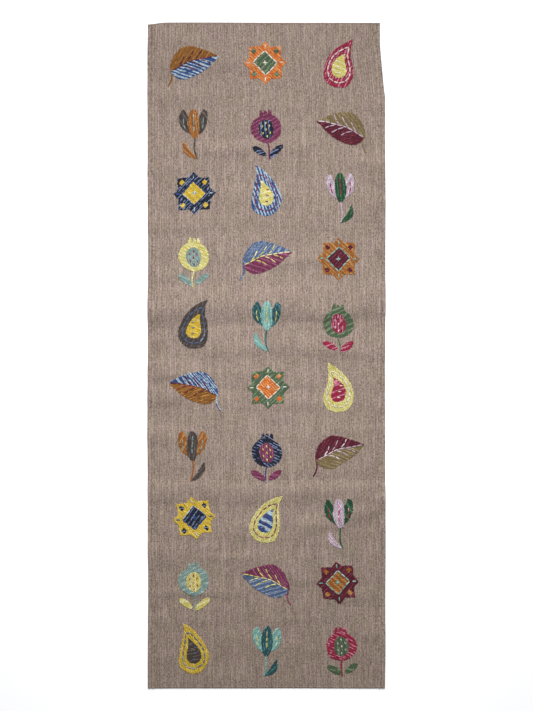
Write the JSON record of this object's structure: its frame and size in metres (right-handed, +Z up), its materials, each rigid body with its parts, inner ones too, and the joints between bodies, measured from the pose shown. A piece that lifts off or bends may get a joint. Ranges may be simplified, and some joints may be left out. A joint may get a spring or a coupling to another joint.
{
  "type": "kilim runner",
  "caption": "Long, narrow flat-woven runner rug with corded side edges, laid flat with soft creases across it from having been folded.",
  "frame": {"origin": "on the floor, under the middle of the runner", "axes": "+Y along the length, towards the picture's top; +X across the width; +Z up out of the face"},
  "size_m": [0.8, 2.2358, 0.0161],
  "materials": {
    "ground_yarn": "matt, ribbed flat weave of melange taupe yarn",
    "motif_yarn": "matt wool stitches in many colours, standing slightly proud of the ground"
  },
  "bodies": {
    "root": {"kilim_ground": "ground_yarn"}
  },
  "joints": []
}
